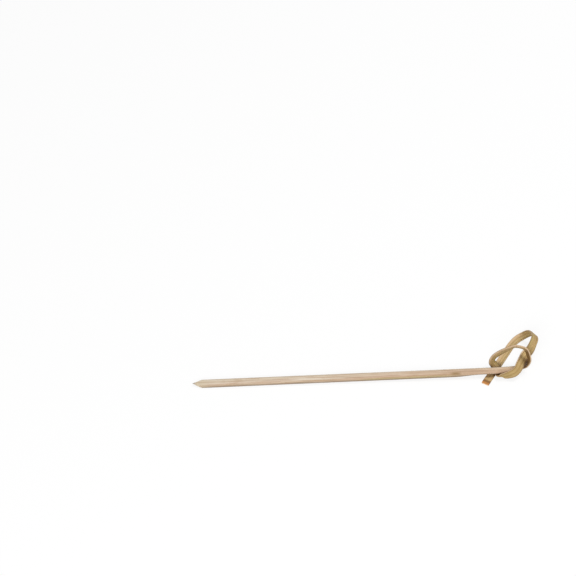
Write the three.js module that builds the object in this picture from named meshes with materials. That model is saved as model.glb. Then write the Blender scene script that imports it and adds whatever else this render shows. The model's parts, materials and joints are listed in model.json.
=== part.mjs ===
// A knotted bamboo pick: one split strip of bamboo, pointed at one end, and shaved thin
// at the other end, which is tied into an overhand knot. The knot has a small collar
// round its crossing, a tall loop behind and a short tail in front.
// Millimetres, +Z up. The pick lies at rest on its tip, its tail and its tall loop,
// with the shaft along X and the point towards -X.

import * as THREE from 'three';

// Shaft and point
const shaftLength = 99.6;        // from the point to where the thin strip begins
const stripWidth = 2.75;
const shaftThickness = 1.35;
const edgeChamfer = 0.2;
const pointLength = 3.2;
const pointWidth = 0.35;
const pointThickness = 0.5;

// Thin end that is tied
const thinThickness = 0.58;
const thinChamfer = 0.12;
const shavingLength = 9;         // ramp from the thick shaft to the thin strip
const crossingGap = 0.24;        // air between strips that cross

// Collar, seen face-on from the front and above
const collarLength = 14;
const collarHeight = 8.6;
const collarLean = 48;           // degrees that its plane leans back from the upright

// Tall loop and tail
const loopLength = 20.3;         // from the shaft's axis to the far bend
const loopSpread = 8.4;          // between its two legs, level
const loopHeight = 6.6;          // between its two legs, upright
const loopHeading = 57.5;        // degrees from the shaft, seen from above
const tailLength = 5.2;
const loopFoot = -4.5;           // where its lower leg passes under the shaft

// Fineness of the mesh
const shaftRings = 8;
const shavingRings = 6;
const knotStep = 0.7;

const colour = 0xcdb187;

const layer = thinThickness + crossingGap;
const floorLayer = -2.15 * layer; // height of the strip that lies lowest
const knotStart = -8.5;          // where the thin strip begins, the knot's centre being x = 0

const lean = THREE.MathUtils.degToRad(collarLean);
const heading = THREE.MathUtils.degToRad(loopHeading);

// Place or direction in the collar's leaning plane: along the shaft, up the plane, out of it
function leaning(along, up, out) {
  return new THREE.Vector3(
    along,
    up * Math.sin(lean) - out * Math.cos(lean),
    up * Math.cos(lean) + out * Math.sin(lean),
  );
}

// Collar station: shares of its length and height, millimetres out of its plane,
// and the direction across the strip in the same leaning axes
function collar(along, up, out, across) {
  return {
    at: leaning(along * collarLength, up * collarHeight, out),
    across: leaning(...across),
  };
}

// Station beside the shaft: along, towards the back and up, in strip widths and layers
function besideShaft(along, back, levels, across) {
  return {
    at: new THREE.Vector3(along, back * stripWidth, levels * layer),
    across: new THREE.Vector3(...across),
  };
}

// Station of the tall loop: shares of its length, spread and height,
// and the degrees that the strip tilts down towards its outer side
function tallLoop(far, aside, high, tilt) {
  const ahead = new THREE.Vector3(Math.cos(heading), Math.sin(heading), 0);
  const side = new THREE.Vector3(Math.sin(heading), -Math.cos(heading), 0);
  const tiltAngle = THREE.MathUtils.degToRad(tilt);
  const at = new THREE.Vector3(loopFoot, 0, floorLayer)
    .addScaledVector(ahead, far * loopLength)
    .addScaledVector(side, aside * loopSpread);
  at.z += high * loopHeight;
  const across = side.clone().multiplyScalar(Math.cos(tiltAngle));
  across.z -= Math.sin(tiltAngle);
  return { at, across };
}

const stations = [
  besideShaft(knotStart, 0, 0, [0, 1, 0]),
  besideShaft(-5, 0, 0, [0, 1, 0]),
  besideShaft(-1.5, 0, 0, [0, 1, 0]),
  collar(0.18, 0.02, -0.55, [0, 0.7, -0.71]),
  collar(0.36, 0.06, -1.15, [-0.15, 0.45, -0.88]),
  collar(0.495, 0.135, -0.9, [-0.25, 0.25, -0.93]),
  collar(0.59, 0.27, 0.95, [-0.2, 0.1, -0.97]),
  collar(0.617, 0.44, 2.1, [-0.3, 0, -0.95]),
  collar(0.595, 0.63, 2.4, [-0.25, -0.1, -0.96]),
  collar(0.52, 0.82, 2.6, [-0.15, -0.2, -0.97]),
  collar(0.41, 0.9, 2.4, [0, -0.22, -0.97]),
  collar(0.25, 0.945, 2.0, [0.05, -0.25, -0.96]),
  collar(0.09, 0.865, 1.3, [0.25, -0.33, -0.9]),
  collar(-0.11, 0.71, 0.3, [0.45, -0.4, -0.78]),
  collar(-0.265, 0.53, -0.8, [0.65, -0.2, -0.72]),
  collar(-0.31, 0.35, -1.5, [0.72, 0.2, -0.6]),
  collar(-0.24, 0.215, -2.2, [0.78, 0.5, -0.36]),
  besideShaft(-2.6, 0.45, -1.07, [0.76, 0.64, 0]),
  besideShaft(-2.25, -0.12, -1.14, [0.76, 0.64, 0]),
  besideShaft(-1.75, -0.67, -1.16, [0.68, 0.5, -0.44]),
  besideShaft(-1.1, -0.76, -0.6, [0.52, 0.15, -0.84]),
  besideShaft(0.1, -0.85, -0.12, [0.45, -0.15, -0.88]),
  besideShaft(1.45, -0.85, 0.42, [0.46, -0.38, -0.8]),
  besideShaft(2.95, -0.76, 0.95, [0.56, -0.58, -0.6]),
  collar(0.315, 0.02, 1.4, [0.7, -0.69, -0.15]),
  collar(0.375, 0.19, 1.1, [0.79, -0.58, -0.15]),
  collar(0.45, 0.39, 0, [0.8, -0.55, -0.2]),
  collar(0.535, 0.6, -1.2, [0.8, -0.57, -0.12]),
  tallLoop(0.59, 0.99, 0.84, 24),
  tallLoop(0.705, 1, 0.985, 26),
  tallLoop(0.823, 0.94, 1, 28),
  tallLoop(0.936, 0.774, 0.84, 29),
  tallLoop(1, 0.49, 0.534, 28),
  tallLoop(0.97, 0.238, 0.21, 21),
  tallLoop(0.887, 0.07, 0.047, 13),
  tallLoop(0.75, 0, 0, 0),
  tallLoop(0.5, 0, 0, 0),
  tallLoop(0.2, 0, 0, 0),
  tallLoop(-tailLength / loopLength, 0, 0, 0),
];

// The thin strip's centreline and the direction across it
const centreline = new THREE.CatmullRomCurve3(stations.map((station) => station.at));
const acrossLine = new THREE.CatmullRomCurve3(stations.map((station) => station.across));

// Section of the strip: a rectangle with bevelled edges, as pairs of across and up
function section(width, thickness, chamfer) {
  const a = width / 2;
  const b = thickness / 2;
  const c = Math.min(chamfer, 0.4 * a, 0.4 * b);
  return [
    [a, c - b], [a, b - c], [a - c, b], [c - a, b],
    [-a, b - c], [-a, c - b], [c - a, -b], [a - c, -b],
  ];
}

function ring(centre, tangent, acrossHint, width, thickness, chamfer) {
  const face = new THREE.Vector3().crossVectors(tangent, acrossHint).normalize();
  const across = new THREE.Vector3().crossVectors(face, tangent);
  return section(width, thickness, chamfer).map(([a, b]) => centre.clone()
    .addScaledVector(across, a)
    .addScaledVector(face, b));
}

// A ring of the straight shaft, whose upper face is level all along
function shaftRing(fromPoint, width, thickness, chamfer) {
  const centre = new THREE.Vector3(
    knotStart - shaftLength + fromPoint, 0, (thinThickness - thickness) / 2,
  );
  const along = new THREE.Vector3(1, 0, 0);
  const back = new THREE.Vector3(0, 1, 0);
  return ring(centre, along, back, width, thickness, chamfer);
}

function pointAndShaftRings() {
  const rings = [
    shaftRing(0, pointWidth, pointThickness, edgeChamfer),
    shaftRing(0.45 * pointLength, 0.62 * stripWidth, 0.8 * shaftThickness, edgeChamfer),
    shaftRing(pointLength, stripWidth, shaftThickness, edgeChamfer),
  ];
  const straight = shaftLength - pointLength - shavingLength;
  for (let i = 1; i <= shaftRings; i += 1) {
    const fromPoint = pointLength + straight * i / shaftRings;
    rings.push(shaftRing(fromPoint, stripWidth, shaftThickness, edgeChamfer));
  }
  return rings;
}

function shavingRampRings() {
  const rings = [];
  for (let i = 1; i <= shavingRings; i += 1) {
    const share = i / shavingRings;
    const ease = THREE.MathUtils.smoothstep(share, 0, 1);
    const thickness = THREE.MathUtils.lerp(shaftThickness, thinThickness, ease);
    const chamfer = THREE.MathUtils.lerp(edgeChamfer, thinChamfer, ease);
    const fromPoint = shaftLength - shavingLength * (1 - share);
    rings.push(shaftRing(fromPoint, stripWidth, thickness, chamfer));
  }
  return rings;
}

function knotRings() {
  const rings = [];
  const count = Math.round(centreline.getLength() / knotStep);
  for (let i = 1; i <= count; i += 1) {
    const t = centreline.getUtoTmapping(i / count);
    rings.push(ring(
      centreline.getPoint(t), centreline.getTangent(t), acrossLine.getPoint(t),
      stripWidth, thinThickness, thinChamfer,
    ));
  }
  return rings;
}

// Joins the rings into one closed skin with a fan over each end
function skin(rings) {
  const sides = rings[0].length;
  const corners = rings.flat();
  const triangles = [];
  for (let i = 0; i + 1 < rings.length; i += 1) {
    for (let j = 0; j < sides; j += 1) {
      const next = (j + 1) % sides;
      const a = i * sides + j;
      const b = i * sides + next;
      triangles.push(a, b, b + sides, a, b + sides, a + sides);
    }
  }
  const lastRing = (rings.length - 1) * sides;
  for (let j = 1; j + 1 < sides; j += 1) {
    triangles.push(0, j + 1, j);
    triangles.push(lastRing, lastRing + j, lastRing + j + 1);
  }
  const geometry = new THREE.BufferGeometry().setFromPoints(corners);
  geometry.setIndex(triangles);
  return geometry;
}

// Tips the pick until its point and its knot both touch the surface it lies on
function layAtRest(geometry) {
  const corners = geometry.attributes.position;
  const point = new THREE.Vector3(
    knotStart - shaftLength + pointLength, 0, thinThickness / 2 - shaftThickness,
  );
  let pitch = Infinity;
  for (let i = 0; i < corners.count; i += 1) {
    const ahead = corners.getX(i) - point.x;
    if (ahead > shaftLength / 2) {
      pitch = Math.min(pitch, Math.atan2(corners.getZ(i) - point.z, ahead));
    }
  }
  geometry.rotateY(pitch);
  geometry.computeBoundingBox();
  const box = geometry.boundingBox;
  geometry.translate(
    -(box.min.x + box.max.x) / 2,
    -(box.min.y + box.max.y) / 2,
    -box.min.z,
  );
}

function makePick() {
  const geometry = skin([...pointAndShaftRings(), ...shavingRampRings(), ...knotRings()]);
  layAtRest(geometry);
  geometry.computeVertexNormals();
  const bamboo = new THREE.MeshStandardMaterial({ color: colour, roughness: 0.6, metalness: 0 });
  const pick = new THREE.Mesh(geometry, bamboo);
  pick.name = 'bamboo_pick';
  return pick;
}

const part = new THREE.Group();
part.add(makePick());

export default part;
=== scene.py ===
"""Dresses the knotted bamboo pick: a fine strip with worn edges and fibre relief, and a
procedural split-bamboo material whose fibres follow the strip through its knot."""
import json
import math

import bpy
import numpy as np
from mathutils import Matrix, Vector

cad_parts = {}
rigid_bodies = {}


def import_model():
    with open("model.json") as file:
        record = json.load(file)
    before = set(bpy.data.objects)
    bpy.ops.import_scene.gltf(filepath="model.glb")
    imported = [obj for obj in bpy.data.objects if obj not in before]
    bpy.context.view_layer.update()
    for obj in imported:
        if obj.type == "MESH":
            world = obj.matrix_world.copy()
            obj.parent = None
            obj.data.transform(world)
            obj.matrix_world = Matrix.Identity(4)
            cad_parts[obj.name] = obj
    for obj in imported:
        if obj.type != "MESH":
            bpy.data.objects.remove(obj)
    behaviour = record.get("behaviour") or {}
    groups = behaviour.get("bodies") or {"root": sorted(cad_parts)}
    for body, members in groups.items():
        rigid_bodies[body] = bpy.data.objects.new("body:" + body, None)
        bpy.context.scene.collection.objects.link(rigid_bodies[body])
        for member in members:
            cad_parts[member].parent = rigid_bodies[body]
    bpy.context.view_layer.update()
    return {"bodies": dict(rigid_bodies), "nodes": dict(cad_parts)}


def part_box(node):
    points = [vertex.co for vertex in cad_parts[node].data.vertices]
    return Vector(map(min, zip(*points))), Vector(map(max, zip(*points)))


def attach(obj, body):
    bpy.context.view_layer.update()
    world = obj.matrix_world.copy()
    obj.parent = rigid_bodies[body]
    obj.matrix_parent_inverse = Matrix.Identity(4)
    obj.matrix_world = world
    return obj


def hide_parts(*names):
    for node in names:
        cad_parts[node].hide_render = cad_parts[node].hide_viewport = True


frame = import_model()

MM = 0.001
NODE = "bamboo_pick"
BODY = next(iter(frame["bodies"]))

# The solid's rings: eight corners each, in the order of its section
RING_CORNERS = 8
SAME_PLACE = 0.001 * MM      # corners closer than this are one corner
TIP_DEPTH = 0.3 * MM         # the first ring lies within this of the tip
STRAIGHT_RINGS = (3, 10)     # two rings far apart on the straight shaft
KNOT_START = 0.87            # share of the object's length where the thin strip begins

# Fineness and section of the dressed strip
SHAFT_STEP = 0.55 * MM
KNOT_STEP = 0.22 * MM
FACE_STEPS = 20
ARC_STEPS = 3
EDGE_STEPS = 2
EDGE_RADIUS = 0.16 * MM
LARGEST_RADIUS = 0.3         # share of the strip's width and of its thickness

# Fibre relief, worn edges, sharper point and slanted cut
RELIEF = 0.016 * MM
EDGE_WEAR = 0.035 * MM
SHARPER_POINT = 0.5          # share taken off the width and thickness at the very tip
POINT_MM = 3.2
POINT_CURVE = 1.5            # above 1, the point narrows fastest at its tip
CUT_RAG = 0.06 * MM
CUT_SLANT = 0.7 * MM
CUT_ZONE_MM = 1.8

# Waves of the relief and the wear, in radians a millimetre, and of the rag, in radians over
# half the width. Each offset sets the two faces or the two edges apart.
RELIEF_ACROSS = 9.0
RELIEF_ALONG = 0.35
RELIEF_OFFSET = 40
RELIEF_SEED = 11
WEAR_ALONG = 0.9
WEAR_OFFSET = 5
WEAR_SEED = 23
RAG_ACROSS = 17
RAG_PHASE = 4

# Where the strip leaves the collar it is pressed flat and wide against the collar's inside.
# Each is a place and a reach from the knot's start, then a width or shift, all in millimetres.
PRESSED = (53.5, 5.0, 0.45)
FLATTENED = (50.0, 9.0, 0.35)
COLLAR_IN = (15.5, 4.5, 0.4)

# Painted shade where strips cross, at full strength near and gone when far
OWN_STRETCH_MM = 6.0         # a crossing strip lies at least this far off along the strip
NEAR_MM = 0.5
FAR_MM = 2.4
COVER_ACROSS = (-0.4, 0.0, 0.4)  # places over the crossing strip's width, as shares of it
COVER_SPREAD = 0.25          # also shades faces turned a little away
CROSSING_SHADE = 0.9

# Stretches of the knot that have tones of their own, in millimetres from the knot's start
KNOT_TONE_MM = (3.0, 14.0)   # where the shaft's tones turn into the knot's
COLLAR_MM = (10.0, 34.0)
# the collar's right end, where painted shade darkens its inside
COLLAR_RIGHT_SHADE_MM = (10.0, 20.0)
COLLAR_LEFT_MM = (21.0, 38.0)
WRAP_MM = (37.0, 50.0)
LOWER_LEG_MM = (68.0, 93.0)
VEINS_MM = (56.0, 93.0)
SOFT_END_MM = 3.0

# Places on the strip, in millimetres: along from the point, and across from its middle
VEINS_ACROSS = (-0.1, 0.8)
SCAR_BEFORE_KNOT = 14.3
SCAR_ACROSS = 0.75
FRONT_ARRIS = 1.22
KNOT_ARRIS = 1.24

# Noise layers: features a millimetre along and across, a seed, detail and roughness
GRAINS = {
    "broad": (0.05, 0.6, 3.1, 2.0, 0.5),
    "bands": (0.035, 1.7, 7.7, 2.0, 0.5),
    "stripes": (0.06, 2.6, 41.3, 3.0, 0.5),
    "lines": (0.05, 4.2, 57.9, 2.0, 0.5),
    "fibres": (0.16, 9.0, 12.3, 4.0, 0.65),
    "threads": (0.3, 22.0, 19.9, 2.0, 0.5),
    "blotch": (0.22, 0.5, 27.5, 3.0, 0.5),
}

# Camera, aimed so that the object falls where the photograph has it
PHOTO = 576
PIXEL = 0.346 * MM           # size of a photograph's pixel at the knot
CAMERA_ELEVATION = 48.0
CAMERA_AZIMUTH = -2.7
CAMERA_DISTANCE = 0.9
CLIP_START = 0.01
SENSOR = 36.0
KNOT_PIXEL = (505.0, 370.2)  # where the knot's crossing lies in the photograph
KNOT_CENTRE = 108.1 * MM     # from the object's end to the crossing, along the shaft
HALF_THIN_STRIP = 0.29 * MM

# Stage and light. Each light has a name, a place, a size and a power.
FLOOR_SIZE = 4.0
FLOOR_WHITE = 0.9
FLOOR_GLOW = 0.82            # share of plain white in the floor that the camera sees
AMBIENT = 0.4
LIGHT_TARGET = (0.02, 0, 0)
KEY_LIGHT = ("key", (0.3, 0.1, 0.72), 0.35, 3.1)
FILL_LIGHT = ("fill", (-0.2, -0.62, 0.42), 0.5, 3.3)


# Reading the solid

def solid_mesh(node):
    """Corners and triangles of a node, with corners at one place merged."""
    mesh = frame["nodes"][node].data
    mesh.calc_loop_triangles()
    merged = {}
    index = []
    corners = []
    for vertex in mesh.vertices:
        key = tuple(round(c / SAME_PLACE) for c in vertex.co)
        if key not in merged:
            merged[key] = len(corners)
            corners.append(vertex.co[:])
        index.append(merged[key])
    triangles = [[index[v] for v in t.vertices] for t in mesh.loop_triangles]
    return np.array(corners), triangles


def neighbours(count, triangles):
    """The corners that each corner shares a triangle with."""
    near = [set() for _ in range(count)]
    for triangle in triangles:
        for corner in triangle:
            near[corner].update(triangle)
    return near


def unit(vectors):
    return vectors / np.linalg.norm(vectors, axis=-1, keepdims=True)


def by_angle(points, members, across, face):
    """Ring members sorted by angle, starting at the corner just below the across side."""
    offsets = points[members] - points[members].mean(0)
    angles = np.arctan2(offsets @ face, offsets @ across)
    ordered = [members[i] for i in np.argsort(angles)]
    first = int(np.sum(angles < 0)) - 1
    return ordered[first:] + ordered[:first]


def walk_rings(points, triangles):
    """The strip's rings of corners from the point to the tail, all in one order."""
    near = neighbours(len(points), triangles)
    tip = points[:, 0].min()
    first = [i for i in range(len(points)) if points[i, 0] < tip + TIP_DEPTH]
    rings = [by_angle(points, first, np.array([0.0, 1.0, 0.0]), np.array([0.0, 0.0, 1.0]))]
    seen = set(first)
    while True:
        last = rings[-1]
        ahead = sorted(set().union(*(near[i] for i in last)) - seen)
        if len(ahead) != RING_CORNERS:
            break
        step = points[ahead].mean(0) - points[last].mean(0)
        across = unit(points[last[0]] + points[last[1]] - points[last[4]] - points[last[5]])
        ordered = by_angle(points, ahead, across, unit(np.cross(step, across)))
        shifts = [ordered[k:] + ordered[:k] for k in range(RING_CORNERS)]
        rings.append(min(shifts, key=lambda s: np.abs(points[s] - points[last] - step).sum()))
        seen.update(ahead)
    return points[np.array(rings)]


# Resampling the strip

def smooth_between(values, lengths, wanted, straight_until):
    """Values at the wanted lengths: linear along the shaft and smooth through the knot."""
    slopes = np.gradient(values, lengths, axis=0)
    low = np.clip(np.searchsorted(lengths, wanted, side="right") - 1, 0, len(lengths) - 2)
    span = (lengths[low + 1] - lengths[low])[:, None]
    share = (wanted - lengths[low])[:, None] / span
    straight = values[low] * (1 - share) + values[low + 1] * share
    curved = (
        (2 * share**3 - 3 * share**2 + 1) * values[low]
        + (share**3 - 2 * share**2 + share) * span * slopes[low]
        + (3 * share**2 - 2 * share**3) * values[low + 1]
        + (share**3 - share**2) * span * slopes[low + 1]
    )
    return np.where((low < straight_until)[:, None], straight, curved)


def ease(share):
    """Shares from 0 to 1 with soft ends."""
    return share * share * (3 - 2 * share)


def swell(along_mm, middle, reach, amount_mm):
    """A smooth bump along the strip: the amount at its middle, nothing beyond its reach."""
    share = np.clip(1 - np.abs(along_mm - middle) / reach, 0, 1)
    return ease(share)[:, None] * amount_mm * MM


class Strip:
    """The strip at each of its rings: middle, directions, width, thickness and place along."""

    def __init__(self, rings):
        centres = rings.mean(1)
        across = (rings[:, 0] + rings[:, 1] - rings[:, 4] - rings[:, 5]) / 2
        up = (rings[:, 2] + rings[:, 3] - rings[:, 6] - rings[:, 7]) / 2
        steps = np.linalg.norm(np.diff(centres, axis=0), axis=1)
        lengths = np.concatenate([[0], np.cumsum(steps)])
        low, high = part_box(NODE)
        knot_x = low.x + (high.x - low.x) * KNOT_START
        shaft_rings = int(np.argmax(centres[:, 0] > knot_x))
        knot = lengths[shaft_rings]
        end = lengths[-1]
        wanted = np.concatenate([
            np.arange(0, knot, SHAFT_STEP),
            np.linspace(knot, end, int((end - knot) / KNOT_STEP)),
        ])
        self.centres = smooth_between(centres, lengths, wanted, shaft_rings)
        across = smooth_between(across, lengths, wanted, shaft_rings)
        up = smooth_between(up, lengths, wanted, shaft_rings)
        self.along_mm = wanted / MM
        self.knot_mm = float(knot / MM)
        self.length_mm = float(end / MM)
        self.tail_up = float(np.sign(up[-1, 2]))
        self.widths = np.linalg.norm(across, axis=1)
        self.heights = np.linalg.norm(up, axis=1)
        self.across = unit(across)
        self.up = unit(up)
        self.ahead = unit(np.cross(self.across, self.up))

    def sharpen_point(self):
        blunt = SHARPER_POINT * np.clip(1 - self.along_mm / POINT_MM, 0, 1) ** POINT_CURVE
        self.widths *= 1 - blunt
        self.heights *= 1 - blunt

    def press_knot(self):
        """Widens the strip where it is pressed, and brings the collar closer to it."""
        in_knot_mm = self.along_mm - self.knot_mm
        pressed = swell(in_knot_mm, *PRESSED)
        flattened = swell(in_knot_mm, *FLATTENED)
        self.centres += self.across * (pressed - flattened) / 2
        self.centres += self.up * swell(in_knot_mm, *COLLAR_IN)
        self.widths += (pressed + flattened)[:, 0]


# Dressing the strip

def wave_noise(x, y, seed):
    """Smooth made-up noise of two coordinates, from sums of sines with fixed phases."""
    waves = 7
    rng = np.random.default_rng(seed)
    total = np.zeros(np.broadcast(x, y).shape)
    for _ in range(waves):
        fx, fy, phase = rng.uniform(0.4, 1.6), rng.uniform(0.4, 1.6), rng.uniform(0, 6.28)
        total += np.sin(fx * x + fy * y + phase)
    return total / waves


def section_points(half_width, half_thickness, radius):
    """Outline of a rounded rectangle: place across and up, outward normal across and up,
    and the face: 1 above, -1 below and 0 on the sides and arcs."""
    rows = []
    flat_a = half_width - radius
    flat_b = half_thickness - radius
    corners = [(1, 1, 0), (-1, 1, 90), (-1, -1, 180), (1, -1, 270)]
    edge = np.linspace(-1, 1, EDGE_STEPS + 2)[1:-1]
    run = np.linspace(-1, 1, FACE_STEPS + 2)[1:-1]
    for sign_a, sign_b, start in corners:
        before_face = sign_a == sign_b
        if before_face:
            rows += [(sign_a * half_width, sign_b * e * flat_b, sign_a, 0, 0) for e in edge]
        for k in range(ARC_STEPS + 1):
            turn = math.radians(start + 90 * k / ARC_STEPS)
            a, b = math.cos(turn), math.sin(turn)
            rows.append((sign_a * flat_a + radius * a, sign_b * flat_b + radius * b, a, b, 0))
        if before_face:
            rows += [(-sign_a * r * flat_a, sign_b * half_thickness, 0, sign_b, sign_b)
                     for r in run]
    return np.array(rows)


def surface_wear(rows, side, length):
    """How far each point of a ring lies inside the plain section, from fibres and wear."""
    face = rows[:, 4]
    across = RELIEF_ACROSS * rows[:, 0] / MM + RELIEF_OFFSET * face
    fibre = wave_noise(across, RELIEF_ALONG * length, RELIEF_SEED)
    wear = wave_noise(0.0, WEAR_ALONG * length + WEAR_OFFSET * np.sign(side), WEAR_SEED)
    return np.where(face == 0, EDGE_WEAR * (0.5 + 0.5 * wear), RELIEF * (1 + fibre))


def dressed_ring(strip, i):
    """Places, outward normals and marks of one ring's points."""
    half_width = strip.widths[i] / 2
    half_height = strip.heights[i] / 2
    length = strip.along_mm[i]
    radius = min(EDGE_RADIUS, LARGEST_RADIUS * strip.heights[i], LARGEST_RADIUS * strip.widths[i])
    rows = section_points(half_width, half_height, radius)
    side = rows[:, 0] / half_width
    level = rows[:, 1] / half_height
    inward = surface_wear(rows, side, length)
    a = rows[:, 0] - inward * rows[:, 2]
    b = rows[:, 1] - inward * rows[:, 3]
    places = strip.centres[i] + np.outer(a, strip.across[i]) + np.outer(b, strip.up[i])
    to_cut = 1 - min(1, (strip.along_mm[-1] - length) / CUT_ZONE_MM)
    slant = CUT_SLANT * (0.5 + 0.5 * strip.tail_up * level)
    rag = CUT_RAG * (0.5 + 0.5 * np.sin(RAG_ACROSS * side + RAG_PHASE))
    places -= np.outer(to_cut * (rag + slant), strip.ahead[i])
    normals = np.outer(rows[:, 2], strip.across[i]) + np.outer(rows[:, 3], strip.up[i])
    marks = np.column_stack([np.full(len(rows), length), rows[:, 0] / MM, level])
    return places, normals, marks


def side_faces(rings, count):
    """Quads between each ring and the next."""
    return [
        (i * count + j, i * count + (j + 1) % count,
         (i + 1) * count + (j + 1) % count, (i + 1) * count + j)
        for i in range(rings - 1) for j in range(count)
    ]


def end_faces(rings, count):
    """Quads over both ends, each from the upper face straight to the lower one."""
    def below(corner):
        return (count + 1 - corner) % count

    faces = []
    last_ring = (rings - 1) * count
    for k in range(1, count // 2):
        face = (k, k + 1, below(k + 1), below(k))
        faces.append(tuple(reversed(face)))
        faces.append(tuple(last_ring + corner for corner in face))
    return faces


def crossing_shade(strip, corners, normals, corner_along):
    """How far another stretch of the strip covers each corner, from 0 to 1: the strength of the
    painted shade where strips cross.
    """
    shade = np.zeros(len(corners))
    sideways = strip.across * strip.widths[:, None]
    for i in np.flatnonzero(strip.along_mm > strip.along_mm[-1] / 2)[::2]:
        own = np.abs(corner_along - strip.along_mm[i]) < OWN_STRETCH_MM
        for side in COVER_ACROSS:
            towards = strip.centres[i] + side * sideways[i] - corners
            distance = np.linalg.norm(towards, axis=1)
            facing = np.clip(COVER_SPREAD + (towards * normals).sum(1) / distance, 0, 1)
            share = np.clip((FAR_MM - distance / MM) / (FAR_MM - NEAR_MM), 0, 1) * facing
            share[own] = 0
            shade = np.maximum(shade, share)
    return ease(shade)


def add_values(mesh, name, values):
    attribute = mesh.attributes.new(name, "FLOAT", "POINT")
    attribute.data.foreach_set("value", values.astype(np.float32))


def make_strip(strip):
    """The visible pick: the solid's strip with round edges, fibre relief and worn edges."""
    rings = [dressed_ring(strip, i) for i in range(len(strip.along_mm))]
    count = len(rings[0][0])
    corners, normals, marks = (np.concatenate(values) for values in zip(*rings))
    sides = side_faces(len(rings), count)
    mesh = bpy.data.meshes.new("bamboo_strip")
    mesh.from_pydata(corners.tolist(), [], sides + end_faces(len(rings), count))
    mesh.validate()
    attribute = mesh.attributes.new("strip", "FLOAT_VECTOR", "POINT")
    attribute.data.foreach_set("vector", marks.astype(np.float32).ravel())
    cut = np.zeros(len(corners))
    cut[-count:] = 1
    add_values(mesh, "cut", cut)
    # "near" holds the painted shade where another stretch of the strip covers a corner
    add_values(mesh, "near", crossing_shade(strip, corners, normals, marks[:, 0]))
    for polygon in mesh.polygons:
        polygon.use_smooth = polygon.index < len(sides)
    piece = bpy.data.objects.new("bamboo_strip", mesh)
    bpy.context.scene.collection.objects.link(piece)
    return piece


# Materials

def linear(red, green, blue):
    """A colour as seen on a screen, 0 to 255, as Blender's linear colour."""
    def one(value):
        value /= 255
        return value / 12.92 if value <= 0.04045 else ((value + 0.055) / 1.055) ** 2.4
    return (one(red), one(green), one(blue), 1.0)


class Tree:
    """Short calls for building the nodes of a material or a world."""

    def __init__(self, owner):
        owner.use_nodes = True
        self.nodes = owner.node_tree.nodes
        self.links = owner.node_tree.links
        self.nodes.clear()

    def fill(self, socket, value):
        if isinstance(value, bpy.types.NodeSocket):
            self.links.new(value, socket)
        else:
            socket.default_value = value

    def add(self, kind, inputs=None, **settings):
        node = self.nodes.new("ShaderNode" + kind)
        for name, value in settings.items():
            setattr(node, name, value)
        for name, value in (inputs or {}).items():
            self.fill(node.inputs[name], value)
        return node

    def math(self, operation, first, second=0.0):
        return self.add("Math", {0: first, 1: second}, operation=operation).outputs[0]

    def product(self, first, *others):
        for other in others:
            first = self.math("MULTIPLY", first, other)
        return first

    def distance(self, first, second):
        return self.math("ABSOLUTE", self.math("SUBTRACT", first, second))

    def smooth(self, value, low, high, to_low=0.0, to_high=1.0):
        """A soft ramp from one value to another, level outside low and high."""
        node = self.add("MapRange", {
            "Value": value, "From Min": low, "From Max": high,
            "To Min": to_low, "To Max": to_high,
        }, interpolation_type="SMOOTHSTEP")
        return node.outputs[0]

    def mix(self, factor, first, second, blend="MIX"):
        """A blend of two colours, which are inputs 6 and 7 and output 2 of the node."""
        node = self.add("Mix", {0: factor}, data_type="RGBA", blend_type=blend)
        self.fill(node.inputs[6], first)
        self.fill(node.inputs[7], second)
        return node.outputs[2]

    def seen_directly(self):
        """One for rays from the camera, in mirrors and through glass, and nothing for others."""
        rays = self.add("LightPath").outputs
        seen = self.math("MAXIMUM", rays["Is Camera Ray"], rays["Is Glossy Ray"])
        return self.math("MAXIMUM", seen, rays["Is Transmission Ray"])


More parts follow.
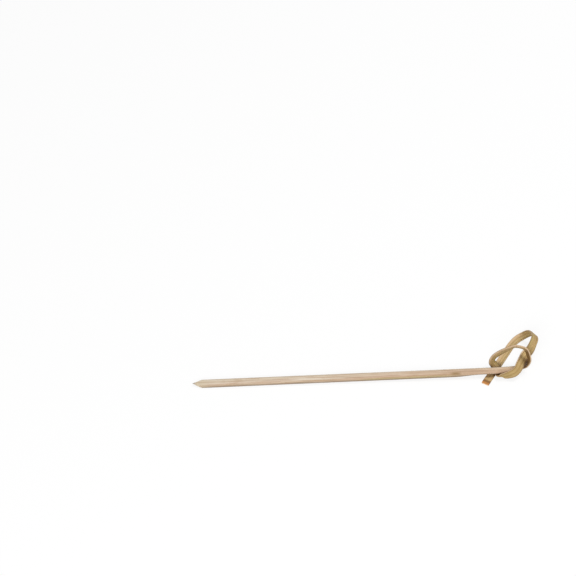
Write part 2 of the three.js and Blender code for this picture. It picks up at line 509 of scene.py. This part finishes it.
class Bamboo:
    """Split bamboo with long fibres along the strip. Each method lays tones over the colour
    that the methods before it have built up."""

    def __init__(self, strip):
        self.material = bpy.data.materials.new("split_bamboo")
        self.tree = Tree(self.material)
        self.knot_mm = strip.knot_mm
        self.length_mm = strip.length_mm
        self.tail_up = strip.tail_up
        marks = self.tree.add("Attribute", attribute_name="strip").outputs["Vector"]
        self.along, self.across, self.up = self.tree.add(
            "SeparateXYZ", {"Vector": marks}).outputs
        self.grains = {name: self.grain(*values) for name, values in GRAINS.items()}
        start, end = (self.knot_mm + place for place in KNOT_TONE_MM)
        self.in_knot = self.tree.smooth(self.along, start, end)
        self.on_shaft = self.tree.math("SUBTRACT", 1.0, self.in_knot)
        self.colour = self.tree.mix(self.in_knot, self.shaft_tones(), self.knot_tones())

    def grain(self, lengthwise, sideways, seed, detail, roughness):
        """Noise that is long along the strip and short across it."""
        space = self.tree.add("CombineXYZ", {
            0: self.tree.product(self.along, lengthwise),
            1: self.tree.product(self.across, sideways),
            2: self.tree.math("ADD", self.tree.product(self.up, 0.9), seed),
        })
        return self.tree.add("TexNoise", {
            "Vector": space.outputs[0], "Scale": 1.0, "Detail": detail, "Roughness": roughness,
        }).outputs[0]

    def ramp(self, name, low, high, to_low=0.0, to_high=1.0):
        return self.tree.smooth(self.grains[name], low, high, to_low, to_high)

    def stretch(self, place_mm):
        """One within a stretch of the knot and nothing outside it, with soft ends."""
        start, end = (self.knot_mm + place for place in place_mm)
        return self.tree.product(
            self.tree.smooth(self.along, start, start + SOFT_END_MM),
            self.tree.smooth(self.along, end, end - SOFT_END_MM),
        )

    def lay(self, tone, *amounts):
        self.colour = self.tree.mix(self.tree.product(*amounts), self.colour, tone)

    def shaft_tones(self):
        """Pinkish cream with grey and tan bands, warmer towards the knot, greyer at the back."""
        tree = self.tree
        pinker = self.ramp("bands", 0.4, 0.58)
        cream = tree.mix(pinker, linear(216, 203, 184), linear(206, 182, 160))
        cream = tree.mix(self.ramp("broad", 0.5, 0.68), cream, linear(196, 183, 162))
        tan = tree.mix(pinker, linear(203, 179, 152), linear(190, 160, 134))
        tone = tree.mix(tree.smooth(self.along, 35.0, self.knot_mm - 5.0), cream, tan)
        back_half = tree.math("ADD", self.across, self.ramp("bands", 0.3, 0.7, -0.8, 0.8))
        greyer = tree.product(
            tree.smooth(back_half, -0.2, 0.7, 0.0, 0.55),
            tree.smooth(self.along, 80.0, 40.0, 0.4, 1.0),
        )
        tone = tree.mix(greyer, tone, linear(200, 189, 166))
        tone = tree.mix(self.ramp("stripes", 0.52, 0.64, 0.0, 0.85), tone, linear(174, 145, 120))
        return tree.mix(self.ramp("stripes", 0.42, 0.32, 0.0, 0.6), tone, linear(226, 212, 194))

    def knot_tones(self):
        """Ochre with olive, brown and pale stripes."""
        tree = self.tree
        tone = tree.mix(self.ramp("bands", 0.4, 0.6), linear(185, 159, 107), linear(170, 143, 92))
        tone = tree.mix(self.ramp("broad", 0.5, 0.66, 0.0, 0.8), tone, linear(166, 148, 92))
        tone = tree.mix(self.ramp("stripes", 0.54, 0.68, 0.0, 0.6), tone, linear(152, 122, 72))
        return tree.mix(self.ramp("stripes", 0.44, 0.3, 0.0, 0.6), tone, linear(196, 167, 126))

    def lay_fibres(self):
        """Thin brown fibres, fine threads and slow blotches, fainter in the knot."""
        brown = self.tree.mix(self.in_knot, linear(166, 130, 98), linear(142, 106, 60))
        self.lay(brown, self.ramp("lines", 0.57, 0.66, 0.0, 0.75))
        faint = self.tree.smooth(self.in_knot, 0.0, 1.0, 1.0, 0.3)
        self.lay(linear(150, 116, 80), self.ramp("fibres", 0.52, 0.72, 0.0, 0.4), faint)
        self.lay(linear(132, 98, 62), self.ramp("threads", 0.6, 0.74, 0.0, 0.3), faint)
        self.lay(linear(232, 216, 188), self.ramp("threads", 0.4, 0.28, 0.0, 0.3), faint)
        self.lay(linear(164, 132, 96), self.ramp("blotch", 0.55, 0.75, 0.0, 0.3), faint)

    def lay_shaft_edges(self):
        """Grey painted shade along the shaft's back edge, and a broken brown line along its front
        edge.
        """
        tree = self.tree
        # painted shade: grey over the rounded back edge, which turns away from the light
        back = tree.smooth(self.across, 0.7, 1.15, 0.0, 0.75)
        self.lay(linear(180, 164, 142), back, self.on_shaft)
        arris = tree.smooth(tree.distance(self.across, -FRONT_ARRIS), 0.34, 0.05)
        broken = self.ramp("broad", 0.42, 0.6, 0.15, 0.8)
        self.lay(linear(168, 132, 96), arris, broken, self.on_shaft)

    def side_tones(self):
        """The strip's cut sides: pinkish grey, olive past the shaft's middle, darkened below on
        the shaft with painted shade, and pale pink in the knot."""
        tree = self.tree
        tone = tree.mix(self.ramp("blotch", 0.4, 0.6), linear(192, 166, 140),
                        linear(176, 154, 130))
        olive = tree.product(
            tree.smooth(self.along, 54.0, 64.0), tree.smooth(self.along, 94.0, 84.0))
        tone = tree.mix(olive, tone, linear(180, 162, 120))
        tone = tree.mix(self.in_knot, tone, linear(204, 178, 148))
        tone = tree.mix(self.ramp("fibres", 0.5, 0.7, 0.0, 0.5), tone, linear(146, 118, 86))
        # painted shade: the lower part of the shaft's sides darkened, as the underside falls in
        # shade
        lower = tree.product(tree.smooth(self.up, 0.4, -0.6, 0.0, 0.9), self.on_shaft)
        return tree.mix(lower, tone, linear(116, 100, 82))

    def lay_sides(self):
        """The cut sides, and dark broken lines of painted shade along the edges of the knot's
        strip.
        """
        tree = self.tree
        from_middle = tree.math("ABSOLUTE", self.across)
        self.lay(self.side_tones(), tree.smooth(from_middle, 1.26, 1.34), 0.85)
        # painted shade: dark broken lines where the knot's strip turns over its thin edges
        arris = tree.smooth(tree.distance(from_middle, KNOT_ARRIS), 0.22, 0.02, 0.0, 0.85)
        broken = self.ramp("broad", 0.35, 0.6, 0.45, 1.0)
        self.lay(linear(128, 102, 62), arris, broken, self.in_knot)

    def lay_collar(self):
        """A pale pinkish band along the collar's near edge, with a dark rim on its left, painted
        shade along the lower side of the edge.
        """
        tree = self.tree
        band = tree.smooth(self.across, -0.45, -1.0, 0.0, 0.6)
        self.lay(linear(202, 172, 140), self.stretch(COLLAR_MM), band)
        # painted shade: dark rim along the lower side of the collar's left edge
        rim = tree.product(
            tree.smooth(self.across, -1.2, -1.32), tree.smooth(self.up, 0.1, -0.7))
        self.lay(linear(112, 88, 54), rim, self.stretch(COLLAR_LEFT_MM), 0.75)

    def lay_wrap_and_leg(self):
        """A browner wrap, and a paler lower leg with a pink outer edge and brown veins."""
        tree = self.tree
        self.lay(linear(150, 122, 72), self.stretch(WRAP_MM), 0.35)
        leg = self.stretch(LOWER_LEG_MM)
        self.lay(linear(212, 186, 138), leg, 0.35)
        self.lay(linear(214, 180, 148), leg, tree.smooth(self.across, -0.1, -0.9, 0.0, 0.5))
        wavering = tree.math("ADD", self.across, self.ramp("blotch", 0.2, 0.8, -0.15, 0.15))
        broken = self.ramp("broad", 0.35, 0.6, 0.45, 1.0)
        for place in VEINS_ACROSS:
            vein = tree.smooth(tree.distance(wavering, place), 0.24, 0.03, 0.0, 0.75)
            self.lay(linear(146, 112, 70), vein, self.stretch(VEINS_MM), broken)

    def lay_scar(self):
        """A brown scar where a bud sat on the shaft."""
        tree = self.tree
        from_scar = tree.distance(self.along, self.knot_mm - SCAR_BEFORE_KNOT)
        beside_scar = tree.distance(self.across, -SCAR_ACROSS)
        self.lay(
            linear(136, 108, 64),
            tree.smooth(from_scar, 2.6, 0.3),
            tree.smooth(beside_scar, 1.0, 0.1),
            self.ramp("fibres", 0.3, 0.6, 0.5, 0.85),
        )

    def lay_ends(self):
        """A pale olive point with a grey tip, and a yellow tail that is burnt at its cut."""
        tree = self.tree
        end = self.length_mm
        self.lay(linear(198, 186, 158), tree.smooth(self.along, 7.0, 1.5, 0.0, 0.5))
        self.lay(linear(150, 138, 130), tree.smooth(self.along, 1.6, 0.1, 0.0, 0.7))
        self.lay(linear(200, 168, 118), tree.smooth(self.along, end - 9.0, end - 4.0, 0.0, 0.5))
        self.lay(linear(118, 72, 28), tree.smooth(self.along, end - 2.3, end - 1.2, 0.0, 0.85))

    def lay_crossing_shade(self):
        """Painted shade: browner where strips hide each other, and dark brown inside the collar's
        right end.
        """
        tree = self.tree
        near = tree.add("Attribute", attribute_name="near").outputs["Fac"]
        # painted shade: the colour multiplied towards brown where another stretch of the strip
        # lies over it
        browner = tree.mix(1.0, self.colour, linear(134, 96, 42), "MULTIPLY")
        self.lay(browner, near, CROSSING_SHADE)
        # painted shade: dark brown on the inside of the collar's right end, where the strip
        # passes behind it
        inside = tree.smooth(self.up, 0.2, 0.95, 0.0, 0.88)
        self.lay(linear(104, 74, 32), self.stretch(COLLAR_RIGHT_SHADE_MM), inside)

    def lay_cut(self):
        """The tail's cut end: orange and brown fibres above, pale below."""
        tree = self.tree
        cut = tree.add("Attribute", attribute_name="cut").outputs["Fac"]
        tone = tree.mix(self.ramp("fibres", 0.4, 0.6), linear(204, 138, 68), linear(140, 86, 36))
        underside = tree.smooth(tree.product(self.up, self.tail_up), 0.1, -0.8)
        tone = tree.mix(underside, tone, linear(214, 174, 132))
        self.lay(tone, tree.smooth(cut, 0.3, 0.9))

    def finish(self):
        """Connects the colour, the roughness and the fine relief to the surface."""
        tree = self.tree
        relief = tree.math(
            "ADD",
            tree.product(self.grains["fibres"], 0.6),
            tree.product(self.grains["threads"], 0.4),
        )
        strength = tree.smooth(self.in_knot, 0.0, 1.0, 0.4, 0.14)
        bump = tree.add("Bump", {"Strength": strength, "Distance": 0.06 * MM, "Height": relief})
        shader = tree.add("BsdfPrincipled", {
            "Base Color": self.colour, "Roughness": self.ramp("fibres", 0.3, 0.7, 0.5, 0.72),
            "Normal": bump.outputs[0], "Specular IOR Level": 0.35,
        })
        tree.add("OutputMaterial", {"Surface": shader.outputs[0]})


def bamboo_material(strip):
    bamboo = Bamboo(strip)
    bamboo.lay_fibres()
    bamboo.lay_shaft_edges()
    bamboo.lay_sides()
    bamboo.lay_collar()
    bamboo.lay_wrap_and_leg()
    bamboo.lay_scar()
    bamboo.lay_ends()
    bamboo.lay_crossing_shade()
    bamboo.lay_cut()
    bamboo.finish()
    return bamboo.material


def floor_material():
    """Matt white that the camera sees nearly pure white, with the object's shadow kept."""
    material = bpy.data.materials.new("studio_white")
    tree = Tree(material)
    matt = tree.add("BsdfDiffuse", {"Color": (FLOOR_WHITE, FLOOR_WHITE, FLOOR_WHITE, 1)})
    glow = tree.add("Emission", {"Color": (1, 1, 1, 1), "Strength": 1.0})
    share = tree.product(tree.seen_directly(), FLOOR_GLOW)
    mixed = tree.add("MixShader", {0: share, 1: matt.outputs[0], 2: glow.outputs[0]})
    tree.add("OutputMaterial", {"Surface": mixed.outputs[0]})
    return material


# Stage, light and camera

def make_floor():
    corners = [(-1, -1, 0), (1, -1, 0), (1, 1, 0), (-1, 1, 0)]
    mesh = bpy.data.meshes.new("floor")
    mesh.from_pydata([Vector(corner) * FLOOR_SIZE for corner in corners], [], [(0, 1, 2, 3)])
    mesh.materials.append(floor_material())
    floor = bpy.data.objects.new("floor", mesh)
    bpy.context.scene.collection.objects.link(floor)


def make_world():
    """Soft white light from all round, with a plain white background behind it."""
    world = bpy.data.worlds.new("studio")
    tree = Tree(world)
    around = tree.add("Background", {"Color": (1, 1, 1, 1), "Strength": AMBIENT})
    white = tree.add("Background", {"Color": (1, 1, 1, 1), "Strength": 1.0})
    mixed = tree.add("MixShader", {
        0: tree.seen_directly(), 1: around.outputs[0], 2: white.outputs[0],
    })
    tree.add("OutputWorld", {"Surface": mixed.outputs[0]})
    bpy.context.scene.world = world


def make_light(name, place, size, power):
    lamp = bpy.data.lights.new(name, "AREA")
    lamp.shape = "DISK"
    lamp.size = size
    lamp.energy = power
    light = bpy.data.objects.new(name, lamp)
    light.location = place
    towards = Vector(LIGHT_TARGET) - Vector(place)
    light.rotation_euler = towards.to_track_quat("-Z", "Y").to_euler()
    bpy.context.scene.collection.objects.link(light)


def knot_centre(rings):
    """Where the shaft's axis meets the knot, found from the upper edges of its rings."""
    low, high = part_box(NODE)
    upper = rings[:, 2:4].mean(1)
    start, end = (upper[ring] for ring in STRAIGHT_RINGS)
    ahead = Vector(end - start).normalized()
    place = Vector(start) + ahead * (KNOT_CENTRE - (start[0] - low.x))
    place.z -= HALF_THIN_STRIP
    return place


def make_camera(target):
    """A camera at the photograph's angle, with the target at its place in the photograph."""
    elevation = math.radians(CAMERA_ELEVATION)
    azimuth = math.radians(CAMERA_AZIMUTH)
    right = Vector((math.cos(azimuth), math.sin(azimuth), 0))
    ahead = Vector((
        -math.sin(azimuth) * math.cos(elevation),
        math.cos(azimuth) * math.cos(elevation),
        -math.sin(elevation),
    ))
    up = right.cross(ahead)
    middle = PHOTO / 2
    aim = target + right * (middle - KNOT_PIXEL[0]) * PIXEL
    aim += up * (KNOT_PIXEL[1] - middle) * PIXEL
    data = bpy.data.cameras.new("camera")
    data.sensor_width = SENSOR
    data.lens = SENSOR * CAMERA_DISTANCE / (PHOTO * PIXEL)
    data.clip_start = CLIP_START
    camera = bpy.data.objects.new("camera", data)
    camera.location = aim - ahead * CAMERA_DISTANCE
    camera.rotation_euler = ahead.to_track_quat("-Z", "Y").to_euler()
    bpy.context.scene.collection.objects.link(camera)
    bpy.context.scene.camera = camera


rings = walk_rings(*solid_mesh(NODE))
make_camera(knot_centre(rings))
make_floor()
make_world()
make_light(*KEY_LIGHT)
make_light(*FILL_LIGHT)
bpy.context.scene.view_settings.view_transform = "Standard"

strip = Strip(rings)
strip.sharpen_point()
strip.press_knot()
piece = make_strip(strip)
piece.data.materials.append(bamboo_material(strip))
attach(piece, BODY)
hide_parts(NODE)
